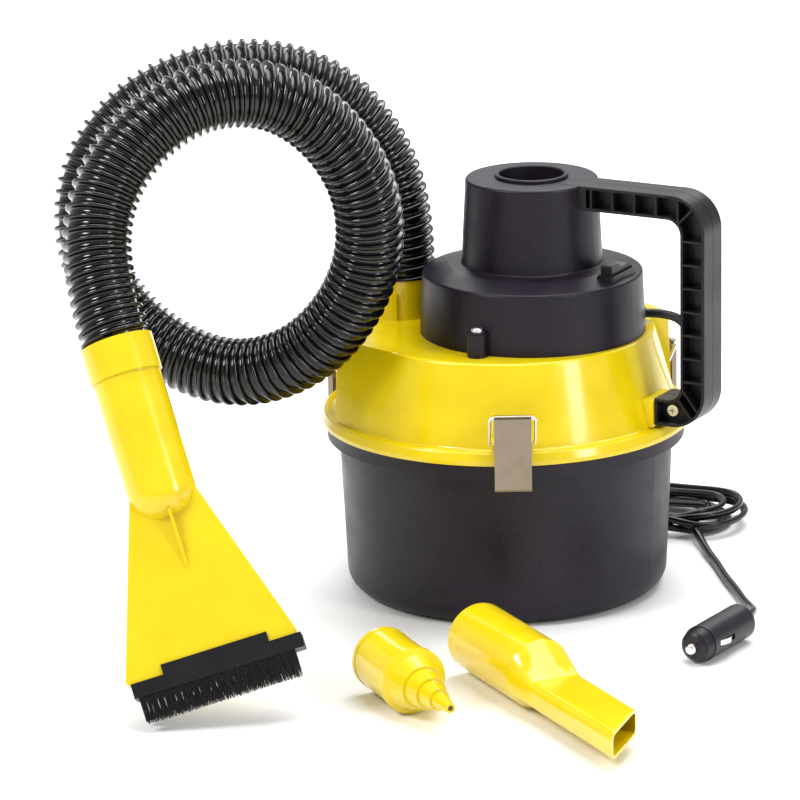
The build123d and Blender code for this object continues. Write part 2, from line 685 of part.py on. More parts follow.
for index, angle in enumerate(BOSS_ANGLES, start=1):
    side_view = radial_plane(angle)
    bail_points = [
        side_view.from_local_coords((LATCH_PIVOT_RADIUS, LATCH_PIVOT_HEIGHT, -PIN_END)),
        side_view.from_local_coords((LATCH_PIVOT_RADIUS, LATCH_PIVOT_HEIGHT, -BAIL_HALF_WIDTH)),
        side_view.from_local_coords((LATCH_BAR_RADIUS, LATCH_BAR_HEIGHT, -BAIL_HALF_WIDTH)),
        side_view.from_local_coords((LATCH_BAR_RADIUS, LATCH_BAR_HEIGHT, BAIL_HALF_WIDTH)),
        side_view.from_local_coords((LATCH_PIVOT_RADIUS, LATCH_PIVOT_HEIGHT, BAIL_HALF_WIDTH)),
        side_view.from_local_coords((LATCH_PIVOT_RADIUS, LATCH_PIVOT_HEIGHT, PIN_END)),
    ]
    with BuildPart() as latch_bail:
        with BuildLine() as bail_line:
            FilletPolyline(*bail_points, radius=1.2)
        bail_path = bail_line.wires()[0]
        with BuildSketch(Plane(origin=bail_path @ 0, z_dir=bail_path % 0)):
            Circle(WIRE_RADIUS)
        sweep(path=bail_path)
    write(latch_bail, f"latch_bail_{index}")

    with BuildPart() as latch_plate:
        # the pressed plate, its curl round the bail's bar and its hook
        with BuildSketch(side_view):
            with BuildLine():
                FilletPolyline(
                    (PLATE_FACE_RADIUS, LATCH_BAR_HEIGHT),
                    (PLATE_FACE_RADIUS, PLATE_BOTTOM),
                    (HOOK_RADIUS, PLATE_BOTTOM + 2.6),
                    (HOOK_RADIUS, LIP_BOTTOM - BODY_GAP),
                    (HOOK_RADIUS + 1.4, LIP_BOTTOM - BODY_GAP),
                    (PLATE_FACE_RADIUS - PLATE_THICKNESS, PLATE_BOTTOM + 2.4),
                    (PLATE_FACE_RADIUS - PLATE_THICKNESS, LATCH_BAR_HEIGHT),
                    radius=[0, 1.6, 0, 0, 0, 0.6, 0],
                    close=True,
                )
            make_face()
            with Locations((LATCH_BAR_RADIUS, LATCH_BAR_HEIGHT)):
                Circle(CURL_RADIUS)
        extrude(amount=PLATE_HALF_WIDTH, both=True)
        # side flanges that stiffen the plate
        for edge in (-PLATE_HALF_WIDTH, PLATE_HALF_WIDTH - PLATE_THICKNESS):
            with BuildSketch(side_view.offset(edge)):
                with BuildLine():
                    Polyline(
                        (PLATE_FACE_RADIUS - 0.4, LATCH_BAR_HEIGHT - 3),
                        (PLATE_FACE_RADIUS - 3.4, LATCH_BAR_HEIGHT - 5),
                        (PLATE_FACE_RADIUS - 3.4, PLATE_BOTTOM + 6),
                        (PLATE_FACE_RADIUS - 0.4, PLATE_BOTTOM + 2),
                        close=True,
                    )
                make_face()
            extrude(amount=PLATE_THICKNESS)
        with BuildSketch(side_view):
            with Locations((LATCH_BAR_RADIUS, LATCH_BAR_HEIGHT)):
                Circle(WIRE_RADIUS + SHAFT_GAP)
        extrude(amount=BAIL_HALF_WIDTH, both=True, mode=Mode.SUBTRACT)
    write(latch_plate, f"latch_plate_{index}")

# ------------------------------------------------- fan, motor and inlet duct

# The partition closes the lid's foot and carries the filter, the duct and the
# motor's pillar.
with BuildPart() as partition:
    with BuildSketch(Plane.XY.offset(PLATE_HEIGHT - 3)):
        Circle(SPIGOT_INNER - 0.2)
        Circle(CAGE_RADIUS - 4, mode=Mode.SUBTRACT)
        with Locations((PORT_X, 0)):
            Circle(PORT_BORE + 1.4, mode=Mode.SUBTRACT)
    extrude(amount=3)
write(partition, "partition")

with BuildPart() as inlet_duct:
    with BuildSketch(Plane(origin=(PORT_X, 0, 78))):
        Circle(PORT_BORE + 1.3)
        Circle(PORT_BORE, mode=Mode.SUBTRACT)
    extrude(amount=deck_inside - 78)
write(inlet_duct, "inlet_duct")

with BuildPart() as fan_housing:
    with BuildSketch(Plane(origin=(COVER_X, 0, 0), x_dir=(1, 0, 0), z_dir=(0, -1, 0))):
        with BuildLine():
            Polyline(
                (14, IMPELLER_BOTTOM - 6),
                (IMPELLER_RADIUS + 5, IMPELLER_BOTTOM - 6),
                (IMPELLER_RADIUS + 5, DECK_HEIGHT),
                (IMPELLER_RADIUS + 3, DECK_HEIGHT),
                (IMPELLER_RADIUS + 3, IMPELLER_BOTTOM - 4),
                (14, IMPELLER_BOTTOM - 4),
                close=True,
            )
        make_face()
    revolve(axis=Axis((COVER_X, 0, 0), (0, 0, 1)))
    # the spider that carries the motor above the fan
    with BuildSketch(cover_plane(MOTOR_BODY_BOTTOM - 10)):
        Circle(MOTOR_BODY_RADIUS + 2)
        Circle(4.0, mode=Mode.SUBTRACT)
    extrude(amount=3)
    with BuildSketch(cover_plane(MOTOR_BODY_BOTTOM - 10)):
        with PolarLocations((MOTOR_BODY_RADIUS + IMPELLER_RADIUS) / 2 + 2, 3, start_angle=30):
            Rectangle(IMPELLER_RADIUS - MOTOR_BODY_RADIUS + 6, 6)
    extrude(amount=-4)
write(fan_housing, "fan_housing")

with BuildPart() as motor_can:
    with BuildSketch(cover_plane(MOTOR_BODY_BOTTOM - 7)):
        Circle(MOTOR_BODY_RADIUS)
    extrude(amount=MOTOR_BODY_TOP - MOTOR_BODY_BOTTOM + 7)
    fillet(motor_can.faces().sort_by(Axis.Z)[-1].edges(), 2)
    with BuildSketch(cover_plane(MOTOR_BODY_BOTTOM - 8)):
        Circle(SHAFT_RADIUS + SHAFT_GAP)
    extrude(amount=MOTOR_BODY_TOP - MOTOR_BODY_BOTTOM - 8, mode=Mode.SUBTRACT)
    with BuildSketch(cover_plane(MOTOR_BODY_BOTTOM)):
        Circle(MOTOR_BODY_RADIUS - 3)
    extrude(amount=26, mode=Mode.SUBTRACT)
write(motor_can, "motor_can")

# armature and shaft, one turning piece
with BuildPart() as armature:
    with BuildSketch(cover_plane(SHAFT_BOTTOM)):
        Circle(SHAFT_RADIUS)
    extrude(amount=MOTOR_BODY_BOTTOM + 29 - SHAFT_BOTTOM)
    with BuildSketch(cover_plane(MOTOR_BODY_BOTTOM + 3)):
        Circle(MOTOR_BODY_RADIUS - 5)
        with PolarLocations(MOTOR_BODY_RADIUS - 5, 5):
            Rectangle(4, 2, mode=Mode.SUBTRACT)
    extrude(amount=20)
write(armature, "armature")

with BuildPart() as impeller:
    with BuildSketch(cover_plane(IMPELLER_BOTTOM + IMPELLER_HEIGHT - 1.5)):
        Circle(IMPELLER_RADIUS)
    extrude(amount=1.5)
    with BuildSketch(cover_plane(IMPELLER_BOTTOM)):
        Circle(5)
        with PolarLocations((IMPELLER_RADIUS + 10) / 2, 8):
            Rectangle(IMPELLER_RADIUS - 10, 1.6, rotation=25)
    extrude(amount=IMPELLER_HEIGHT - 1.5)
    with BuildSketch(cover_plane(IMPELLER_BOTTOM - 1)):
        Circle(SHAFT_RADIUS)
    extrude(amount=IMPELLER_HEIGHT + 2, mode=Mode.SUBTRACT)
write(impeller, "impeller")

# ------------------------------------------------------------- filter, float

cage_top = PLATE_HEIGHT - 3
with BuildPart() as filter_cage:
    with BuildSketch(Plane.XY.offset(CAGE_BOTTOM)):
        Circle(CAGE_RADIUS)
        Circle(CAGE_RADIUS - 2, mode=Mode.SUBTRACT)
    extrude(amount=cage_top - CAGE_BOTTOM)
    # tall windows leave eight bars between the cage's rings
    with BuildSketch(Plane.XY.offset(CAGE_BOTTOM + 6)):
        with PolarLocations(CAGE_RADIUS - 1, 8):
            Rectangle(8, 14)
    extrude(amount=cage_top - CAGE_BOTTOM - 12, mode=Mode.SUBTRACT)
    with BuildSketch(Plane.XY.offset(CAGE_BOTTOM)):
        Circle(CAGE_RADIUS)
        with PolarLocations(14, 6):
            Circle(5, mode=Mode.SUBTRACT)
    extrude(amount=2)
write(filter_cage, "filter_cage")

with BuildPart() as filter_sleeve:
    with BuildSketch(Plane.XY.offset(CAGE_BOTTOM + 2)):
        Circle(FILTER_RADIUS)
        Circle(CAGE_RADIUS, mode=Mode.SUBTRACT)
    extrude(amount=cage_top - CAGE_BOTTOM - 4)
write(filter_sleeve, "filter_sleeve")

with BuildPart() as filter_band:
    with BuildSketch(Plane.XY.offset(cage_top - 10)):
        Circle(FILTER_RADIUS + 1.2)
        Circle(FILTER_RADIUS, mode=Mode.SUBTRACT)
    extrude(amount=6)
write(filter_band, "filter_band")

with BuildPart() as float_cup:
    with BuildSketch(Plane.XZ):
        with BuildLine():
            FilletPolyline(
                (0, CAGE_BOTTOM + 30),
                (FLOAT_RADIUS, CAGE_BOTTOM + 30),
                (FLOAT_RADIUS, CAGE_BOTTOM + 3),
                (FLOAT_RADIUS - 1.6, CAGE_BOTTOM + 3),
                (FLOAT_RADIUS - 1.6, CAGE_BOTTOM + 28.4),
                (0, CAGE_BOTTOM + 28.4),
                radius=[0, 3, 0, 0, 1.4, 0],
                close=True,
            )
        make_face()
    revolve(axis=Axis.Z)
write(float_cup, "float_cup")

# ---------------------------------------------------------- hose and cuff

with BuildPart() as hose_cuff:
    with BuildSketch(Plane(origin=(PORT_X, 0, deck_inside))):
        Circle(PORT_BORE)
        Circle(PORT_BORE - 2, mode=Mode.SUBTRACT)
    extrude(amount=PORT_TOP - deck_inside)
write(hose_cuff, "hose_cuff")

# the brush nozzle leans back on one corner of its bristles
nozzle_axis = (HOSE_ROUTE[-2] - HOSE_ROUTE[-1]).normalized()
nozzle_corner = HOSE_ROUTE[-1] - nozzle_axis * NOZZLE_COLLAR_END
level_width = nozzle_axis.cross(Vector(0, 0, 1)).normalized()
nozzle_width = level_width.rotate(Axis((0, 0, 0), nozzle_axis), NOZZLE_ROLL)
nozzle_front = nozzle_width.cross(nozzle_axis)
nozzle_face = Plane(origin=nozzle_corner, x_dir=nozzle_width, z_dir=nozzle_front)
nozzle_side = Plane(origin=nozzle_corner, x_dir=nozzle_front, z_dir=nozzle_width * -1)


def nozzle_section(height):
    """The plane across the nozzle at a height above its bristles' tips."""
    return Plane(origin=nozzle_corner + nozzle_axis * height, x_dir=nozzle_width, z_dir=nozzle_axis)


hose = sweep_cord(HOSE_ROUTE, HOSE_RADIUS, "hose")
write(hose, "hose")

with BuildPart() as nozzle_collar:
    with BuildSketch(nozzle_section(NOZZLE_TUBE_END)):
        Circle(NOZZLE_COLLAR_RADIUS)
        Circle(NOZZLE_TUBE_BORE, mode=Mode.SUBTRACT)
    extrude(amount=NOZZLE_COLLAR_END - NOZZLE_TUBE_END)
write(nozzle_collar, "nozzle_collar")

NOZZLE_PLATE_BOTTOM = 22.4
NOZZLE_SHOULDER = 119.5
with BuildPart() as nozzle_body:
    # the flat fan
    with BuildSketch(nozzle_face):
        with BuildLine():
            FilletPolyline(
                (-49, NOZZLE_PLATE_BOTTOM),
                (49, NOZZLE_PLATE_BOTTOM),
                (49, NOZZLE_PLATE_BOTTOM + 3),
                (18.6, NOZZLE_SHOULDER),
                (-18.6, NOZZLE_SHOULDER),
                (-49, NOZZLE_PLATE_BOTTOM + 3),
                radius=[0, 0, 2, 0, 0, 2],
                close=True,
            )
        make_face()
    extrude(amount=8, both=True)
    # the round tube with its domed foot
    with BuildSketch(nozzle_side):
        with BuildLine():
            FilletPolyline(
                (0, NOZZLE_TUBE_START),
                (NOZZLE_TUBE_RADIUS, NOZZLE_TUBE_START),
                (NOZZLE_TUBE_RADIUS, NOZZLE_TUBE_END),
                (0, NOZZLE_TUBE_END),
                radius=[0, 16, 0, 0],
                close=True,
            )
        make_face()
    revolve(axis=Axis(nozzle_corner, nozzle_axis))
    # the thin fin below the dome
    with BuildSketch(nozzle_side.offset(-2)):
        with BuildLine():
            Polyline(
                (6, 73.6),
                (8, 73.6),
                (16, NOZZLE_TUBE_START + 4),
                (6, NOZZLE_TUBE_START + 4),
                close=True,
            )
        make_face()
    extrude(amount=0.9, both=True)
    # the air channel
    with BuildSketch(nozzle_section(NOZZLE_TUBE_END)):
        Circle(NOZZLE_TUBE_BORE)
    extrude(amount=NOZZLE_SHOULDER - NOZZLE_TUBE_END - 2, mode=Mode.SUBTRACT)
    with BuildSketch(nozzle_face):
        with BuildLine():
            Polyline(
                (-45, NOZZLE_PLATE_BOTTOM),
                (45, NOZZLE_PLATE_BOTTOM),
                (15, NOZZLE_SHOULDER),
                (-15, NOZZLE_SHOULDER),
                close=True,
            )
        make_face()
    extrude(amount=6, both=True, mode=Mode.SUBTRACT)
write(nozzle_body, "nozzle_body")

# the holder's bar and tab, and the bristles that it grips
with BuildPart() as brush_holder:
    with BuildSketch(nozzle_face):
        with BuildLine():
            Polyline(
                (-47, 14),
                (51, 14),
                (51, NOZZLE_PLATE_BOTTOM),
                (-47, NOZZLE_PLATE_BOTTOM),
                close=True,
            )
        make_face()
    extrude(amount=9.5, both=True)
    with BuildSketch(nozzle_face.offset(8)):
        with BuildLine():
            Polyline(
                (-28, 14),
                (33, 14),
                (33, 28),
                (-28, 28),
                close=True,
            )
        make_face()
    extrude(amount=1.5)
    with BuildSketch(nozzle_face):
        with BuildLine():
            Polyline(
                (-43, 10),
                (-43, 30),
                (43, 30),
                (43, 10),
                close=True,
            )
        make_face()
    extrude(amount=3.5, both=True, mode=Mode.SUBTRACT)
write(brush_holder, "brush_holder")

for label, side in (("bristles_front", 1), ("bristles_rear", -1)):
    with BuildPart() as bristle_row:
        with BuildSketch(nozzle_face.offset(side * 3.8)):
            with BuildLine():
                Polyline(
                    (-45, 0),
                    (45, 0),
                    (45, 14),
                    (-45, 14),
                    close=True,
                )
            make_face()
        extrude(amount=side * 3.6)
    write(bristle_row, label)

# -------------------------------------------------------------- crevice tool

CREVICE_TUBE = 74.0
CREVICE_TIP = 192.0
CREVICE_SHORT_SIDE = 156.0
CREVICE_HALF_WIDTH = 16.5
CREVICE_SLOT_DROP = 4.3
CREVICE_SLOT_HEIGHT = 16.0
CREVICE_SLOT_ROUNDING = 5.0
CREVICE_LOFT = 20.0


def crevice_section(distance):
    return heading_plane(CREVICE_END + Vector(
        cos(radians(CREVICE_HEADING)), sin(radians(CREVICE_HEADING)), 0) * distance, CREVICE_HEADING)


def slot_size(inset):
    width = 2 * (CREVICE_HALF_WIDTH - inset)
    height = CREVICE_SLOT_HEIGHT - 2 * inset
    return width, height


with BuildPart() as crevice_tool:
    for inset, mode in ((0, Mode.ADD), (CREVICE_WALL, Mode.SUBTRACT)):
        width, height = slot_size(inset)
        # round socket
        with BuildSketch(crevice_section(0)):
            Circle(CREVICE_RADIUS - inset)
        extrude(amount=-CREVICE_TUBE, mode=mode)
        # the scooped change of section
        with BuildSketch(crevice_section(CREVICE_TUBE)):
            Circle(CREVICE_RADIUS - inset)
        with BuildSketch(crevice_section(CREVICE_TUBE + CREVICE_LOFT)):
            with Locations((0, CREVICE_SLOT_DROP)):
                RectangleRounded(width, height, CREVICE_SLOT_ROUNDING - inset)
        loft(mode=mode)
        # flat spout
        with BuildSketch(crevice_section(CREVICE_TUBE + CREVICE_LOFT)):
            with Locations((0, CREVICE_SLOT_DROP)):
                RectangleRounded(width, height, CREVICE_SLOT_ROUNDING - inset)
        extrude(amount=CREVICE_TUBE + CREVICE_LOFT - CREVICE_TIP, mode=mode)
    # the mouth is cut at a slant, the side towards +Y the shorter one
    with BuildSketch(Plane(
        origin=CREVICE_END,
        x_dir=(cos(radians(CREVICE_HEADING)), sin(radians(CREVICE_HEADING)), 0),
        z_dir=(0, 0, 1),
    )):
        with BuildLine():
            Polyline(
                (CREVICE_TIP - 1.0, -CREVICE_HALF_WIDTH - 1),
                (CREVICE_SHORT_SIDE, CREVICE_HALF_WIDTH + 1),
                (CREVICE_TIP + 10, CREVICE_HALF_WIDTH + 1),
                (CREVICE_TIP + 10, -CREVICE_HALF_WIDTH - 1),
                close=True,
            )
        make_face()
    extrude(amount=30, both=True, mode=Mode.SUBTRACT)
write(crevice_tool, "crevice_tool")

# ----------------------------------------------------------- inflator nozzle

with BuildPart() as inflator_nozzle:
    with BuildSketch(lying_plane(INFLATOR_END, INFLATOR_HEADING)):
        with BuildLine():
            Polyline(
                (0, INFLATOR_RADIUS - 2),
                (0, INFLATOR_RADIUS - 0.6),
                (3, INFLATOR_RADIUS - 0.6),
                (3, INFLATOR_RADIUS - 1.0),
                (40, INFLATOR_RADIUS - 1.0),
                (40, INFLATOR_RADIUS),
                (44.5, INFLATOR_RADIUS),
                (46.5, INFLATOR_RADIUS - 2),
                (47.5, INFLATOR_RADIUS - 3),
                (58, 12.6),
                (58, 11.2),
                (69, 9.2),
                (69, 7.9),
                (80, 6.2),
                (80, 5.0),
                (95, 2.8),
                (95, 1.6),
                (47.5, 8.0),
                (44, INFLATOR_RADIUS - 4),
                (44, INFLATOR_RADIUS - 3),
                (2, INFLATOR_RADIUS - 3),
                close=True,
            )
        make_face()
    inflator_turn = radians(INFLATOR_HEADING)
    inflator_line = Axis(INFLATOR_END, (cos(inflator_turn), sin(inflator_turn), 0))
    revolve(axis=inflator_line)
write(inflator_nozzle, "inflator_nozzle")

# ---------------------------------------------------------------------- plug

plug_rear = LEAD_ROUTE[-1]
plug_way = (LEAD_ROUTE[-1] - LEAD_ROUTE[-2]).normalized()
plug_side = Plane(origin=plug_rear, x_dir=plug_way, z_dir=plug_way.cross(Vector(0, 0, 1)))
plug_level = Plane(origin=plug_rear, x_dir=plug_way, z_dir=(0, 0, 1))
plug_line = Axis(plug_rear, plug_way)
TIP_RADIUS = 3.2
with BuildPart() as plug_body:
    with BuildSketch(plug_side):
        with BuildLine():
            FilletPolyline(
                (0, 0),
                (0, PLUG_RADIUS),
                (PLUG_LENGTH, PLUG_RADIUS),
                (PLUG_LENGTH, 0),
                radius=[0, 1.6, 0, 0],
                close=True,
            )
        make_face()
    revolve(axis=plug_line)
    # pockets for the two side contacts
    with BuildSketch(plug_side):
        with Locations((34, 0)):
            Rectangle(17, 3.6)
    extrude(amount=PLUG_RADIUS + 1, both=True, mode=Mode.SUBTRACT)
write(plug_body, "plug_body")

with BuildPart() as plug_cap:
    with BuildSketch(plug_side):
        with BuildLine():
            FilletPolyline(
                (PLUG_LENGTH, TIP_RADIUS + SHAFT_GAP),
                (PLUG_LENGTH, PLUG_RADIUS - 0.4),
                (PLUG_LENGTH + 6, PLUG_RADIUS - 1.6),
                (PLUG_LENGTH + 8, PLUG_RADIUS - 4),
                (PLUG_LENGTH + 8, TIP_RADIUS + SHAFT_GAP),
                radius=[0, 0.4, 1.6, 1.6, 0],
                close=True,
            )
        make_face()
    revolve(axis=plug_line)
write(plug_cap, "plug_cap")

with BuildPart() as plug_tip:
    with BuildSketch(plug_side):
        with BuildLine():
            FilletPolyline(
                (PLUG_LENGTH + BODY_GAP + 3, 0),
                (PLUG_LENGTH + BODY_GAP + 3, TIP_RADIUS),
                (PLUG_LENGTH + 12.8, TIP_RADIUS),
                (PLUG_LENGTH + 12.8, 0),
                radius=[0, 0, 1.8, 0],
                close=True,
            )
        make_face()
    revolve(axis=plug_line)
write(plug_tip, "plug_tip")

for index, side in enumerate((1, -1), start=1):
    with BuildPart() as plug_contact:
        with BuildSketch(plug_level):
            with BuildLine():
                FilletPolyline(
                    (27, side * 4.0),
                    (27, side * (PLUG_RADIUS - 0.8)),
                    (34, side * (PLUG_RADIUS + 1.6)),
                    (41, side * (PLUG_RADIUS - 0.8)),
                    (41, side * 4.0),
                    radius=[0, 1.0, 6.0, 1.0, 0],
                    close=True,
                )
            make_face()
        extrude(amount=1.5, both=True)
    write(plug_contact, f"plug_contact_{index}")

# ---------------------------------------------------------------- power cord

with BuildPart() as cord_gland:
    with BuildSketch(Plane(origin=CORD_ROUTE[0], z_dir=cord_exit_way)):
        Circle(GLAND_RADIUS)
    extrude(amount=-GLAND_DEPTH)
write(cord_gland, "cord_gland")

power_cord = sweep_cord(CORD_ROUTE, CORD_RADIUS, "power cord")
write(power_cord, "power_cord")

plug_lead = sweep_cord(LEAD_ROUTE, CORD_RADIUS, "plug lead")
write(plug_lead, "plug_lead")

hank_plane = Plane(
    origin=HANK_CENTRE,
    x_dir=(cos(radians(HANK_HEADING)), sin(radians(HANK_HEADING)), 0),
    z_dir=(0, 0, 1),
)
with BuildPart() as cord_hank:
    with BuildSketch(hank_plane):
        SlotCenterToCenter(2 * HANK_REACH, 2 * (HANK_MEAN_RADIUS + HANK_HALF_WIDTH))
        SlotCenterToCenter(
            2 * HANK_REACH, 2 * (HANK_MEAN_RADIUS - HANK_HALF_WIDTH), mode=Mode.SUBTRACT)
    extrude(amount=HANK_HEIGHT)
    chamfer(cord_hank.faces().sort_by(Axis.Z)[-1].edges(), 4)
write(cord_hank, "cord_hank")
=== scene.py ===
import json
from math import cos, pi, radians, sin

import bmesh
import bpy
from mathutils import Matrix, Quaternion, Vector


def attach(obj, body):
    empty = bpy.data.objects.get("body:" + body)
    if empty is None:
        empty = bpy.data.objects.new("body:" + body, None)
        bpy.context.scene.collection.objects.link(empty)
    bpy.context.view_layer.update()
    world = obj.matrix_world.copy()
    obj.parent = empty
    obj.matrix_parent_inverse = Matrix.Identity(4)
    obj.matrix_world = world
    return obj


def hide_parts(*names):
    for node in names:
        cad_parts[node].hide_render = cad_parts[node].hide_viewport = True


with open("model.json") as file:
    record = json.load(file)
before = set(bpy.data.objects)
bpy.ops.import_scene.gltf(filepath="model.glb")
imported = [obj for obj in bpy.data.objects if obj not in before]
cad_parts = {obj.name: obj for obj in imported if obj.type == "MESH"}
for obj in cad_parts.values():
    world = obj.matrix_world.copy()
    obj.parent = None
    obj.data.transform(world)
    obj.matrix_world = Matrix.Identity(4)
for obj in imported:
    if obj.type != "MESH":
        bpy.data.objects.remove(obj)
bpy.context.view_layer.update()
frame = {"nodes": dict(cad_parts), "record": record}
nodes = frame["nodes"]
MM = 0.001

# ---------------------------------------------------------------- dimensions

# The hose's route, from the port on the lid to the nozzle's collar.
HOSE_ROUTE = [
    (-0.069, 0.000, 0.182),
    (-0.069, 0.000, 0.222),
    (-0.081, -0.007, 0.263),
    (-0.104, -0.022, 0.296),
    (-0.137, -0.045, 0.310),
    (-0.171, -0.069, 0.306),
    (-0.200, -0.092, 0.287),
    (-0.218, -0.111, 0.253),
    (-0.216, -0.121, 0.212),
    (-0.195, -0.123, 0.176),
    (-0.161, -0.119, 0.151),
    (-0.121, -0.113, 0.140),
    (-0.081, -0.107, 0.152),
    (-0.051, -0.102, 0.181),
    (-0.033, -0.101, 0.219),
    (-0.031, -0.107, 0.260),
    (-0.044, -0.124, 0.297),
    (-0.068, -0.148, 0.322),
    (-0.098, -0.178, 0.324),
    (-0.122, -0.207, 0.304),
    (-0.134, -0.231, 0.271),
    (-0.127, -0.248, 0.232),
    (-0.109, -0.257, 0.197),
]
HOSE_DIAMETER = 0.040
HOSE_CORE_RADIUS = 0.0171
HOSE_RIB_PITCH = 0.0060
HOSE_SIDES = 44
HOSE_LINE_STEPS = 24

# One rib's outline: share of the pitch, share of the rib's height.
RIB_PROFILE = (
    (0.00, 0.00), (0.20, 0.02), (0.27, 0.22), (0.32, 0.66), (0.39, 0.93),
    (0.50, 1.00), (0.61, 0.93), (0.68, 0.66), (0.73, 0.22), (0.80, 0.02),
)

# The power cord: out of the drum to the floor, then the hank, then the plug.
CORD_DROP = [
    (0.071, 0.044, 0.163),
    (0.083, 0.054, 0.162),
    (0.091, 0.062, 0.153),
    (0.094, 0.070, 0.137),
    (0.091, 0.075, 0.117),
    (0.085, 0.079, 0.097),
    (0.072, 0.087, 0.080),
    (0.056, 0.097, 0.066),
    (0.046, 0.108, 0.050),
    (0.042, 0.115, 0.032),
    (0.034, 0.119, 0.016),
]
CORD_LEAD = [
    (0.062, 0.126, 0.008),
    (0.075, 0.111, 0.005),
    (0.090, 0.091, 0.0035),
    (0.105, 0.073, 0.003),
    (0.121, 0.051, 0.003),
    (0.138, 0.030, 0.0035),
    (0.152, 0.011, 0.004),
    (0.165, -0.006, 0.0065),
    (0.175, -0.023, 0.0105),
    (0.174, -0.041, 0.0105),
]
CORD_WIDTH = 0.0055
CORD_THICKNESS = 0.0036
CORD_LINE_STEPS = 8
# The angles of the points round one lobe of the twin cord's section.
LOBE_ANGLES = (-115, -80, -40, 0, 40, 80, 115)
HANK_CENTRE = Vector((0.005, 0.1435, 0))
HANK_HEADING = radians(6)
HANK_REACH = 0.042
HANK_RADIUS = 0.027
HANK_LAYERS = (0.003, 0.0085, 0.014)
# How far each turn's end radius and reach differ from the mean, in millimetres.
HANK_RADIUS_CHANGES = (-9, 4, -3, 9, 0, 7, -6)
HANK_REACH_CHANGES = (2, -3, 1, 3, -2, 2, -4)
HANK_TURNS = len(HANK_RADIUS_CHANGES)
HANK_TAIL = 3

# The brush nozzle's own frame, measured from the tips of its bristles.
NOZZLE_COLLAR_END = 0.2095
NOZZLE_ROLL = radians(-33.4)
BRISTLE_HALF_WIDTH = 0.0448
BRISTLE_LENGTH = 0.0145
BRISTLES_PER_ROW = 190
BRISTLE_ROOT_RADIUS = 0.00032
BRISTLE_TIP_RADIUS = 0.00018
BRISTLE_ROWS = {
    "bristles_rear": (-0.0065, -0.0052),
    "bristles_front": (0.0052, 0.0065),
}


# The floor lies this far under the object, clear of its lowest faces.
FLOOR_DROP = 0.0004


# -------------------------------------------------------------------- camera

CAMERA_PLACE = Vector((1.2957, -2.4369, 0.888))
CAMERA_AIM = Vector((-0.0556, -0.0296, 0.1124))
CAMERA_LENS = 215.9
CAMERA_ROLL = radians(-1.0)

camera_data = bpy.data.cameras.new("camera")
camera_data.lens = CAMERA_LENS
camera_data.sensor_width = 36
camera_data.clip_start = 0.1
camera_data.clip_end = 50
camera = bpy.data.objects.new("camera", camera_data)
bpy.context.scene.collection.objects.link(camera)
camera.rotation_mode = "QUATERNION"
camera.location = CAMERA_PLACE
look = (CAMERA_AIM - CAMERA_PLACE).to_track_quat("-Z", "Y")
camera.rotation_quaternion = look @ Quaternion((0, 0, 1), CAMERA_ROLL)
bpy.context.scene.camera = camera


# ----------------------------------------------------------------- materials

def new_material(name, color, roughness, metallic=0.0, coat=0.0, specular=0.5):
    material = bpy.data.materials.new(name)
    material.use_nodes = True
    shader = material.node_tree.nodes["Principled BSDF"]
    shader.inputs["Base Color"].default_value = (*color, 1)
    shader.inputs["Roughness"].default_value = roughness
    shader.inputs["Metallic"].default_value = metallic
    shader.inputs["Coat Weight"].default_value = coat
    shader.inputs["Coat Roughness"].default_value = 0.08
    shader.inputs["Specular IOR Level"].default_value = specular
    return material, shader


def add_noise(material, scale, detail=3.0):
    tree = material.node_tree
    place = tree.nodes.new("ShaderNodeTexCoord")
    noise = tree.nodes.new("ShaderNodeTexNoise")
    noise.inputs["Scale"].default_value = scale
    noise.inputs["Detail"].default_value = detail
    tree.links.new(place.outputs["Object"], noise.inputs["Vector"])
    return noise


def add_bump(material, shader, source, strength, distance):
    tree = material.node_tree
    bump = tree.nodes.new("ShaderNodeBump")
    bump.inputs["Strength"].default_value = strength
    bump.inputs["Distance"].default_value = distance
    tree.links.new(source.outputs[0], bump.inputs["Height"])
    tree.links.new(bump.outputs["Normal"], shader.inputs["Normal"])


def vary(material, source, target, low, high):
    """Drive one shader socket between two values from a noise."""
    tree = material.node_tree
    ramp = tree.nodes.new("ShaderNodeMapRange")
    ramp.inputs["From Min"].default_value = 0.35
    ramp.inputs["From Max"].default_value = 0.65
    ramp.inputs["To Min"].default_value = low
    ramp.inputs["To Max"].default_value = high
    tree.links.new(source.outputs[0], ramp.inputs["Value"])
    tree.links.new(ramp.outputs["Result"], target)


def tint(material, shader, source, dark, light, start=0.3, end=0.7):
    """Blend the base colour between two shades from a noise."""
    tree = material.node_tree
    ramp = tree.nodes.new("ShaderNodeValToRGB")
    ramp.color_ramp.elements[0].position = start
    ramp.color_ramp.elements[0].color = (*dark, 1)
    ramp.color_ramp.elements[1].position = end
    ramp.color_ramp.elements[1].color = (*light, 1)
    tree.links.new(source.outputs[0], ramp.inputs["Fac"])
    tree.links.new(ramp.outputs["Color"], shader.inputs["Base Color"])


def grained_plastic(name, dark, light, roughness, grain=1400.0, depth=0.00012):
    """Spark-eroded moulding: a fine leathery grain with a satin sheen."""
    material, shader = new_material(name, light, roughness, specular=0.3)
    grain_noise = add_noise(material, grain, 2.0)
    tint(material, shader, grain_noise, dark, light)
    add_bump(material, shader, grain_noise, 0.35, depth)
    cloud = add_noise(material, 35.0)
    vary(material, cloud, shader.inputs["Roughness"], roughness - 0.05, roughness + 0.06)
    return material


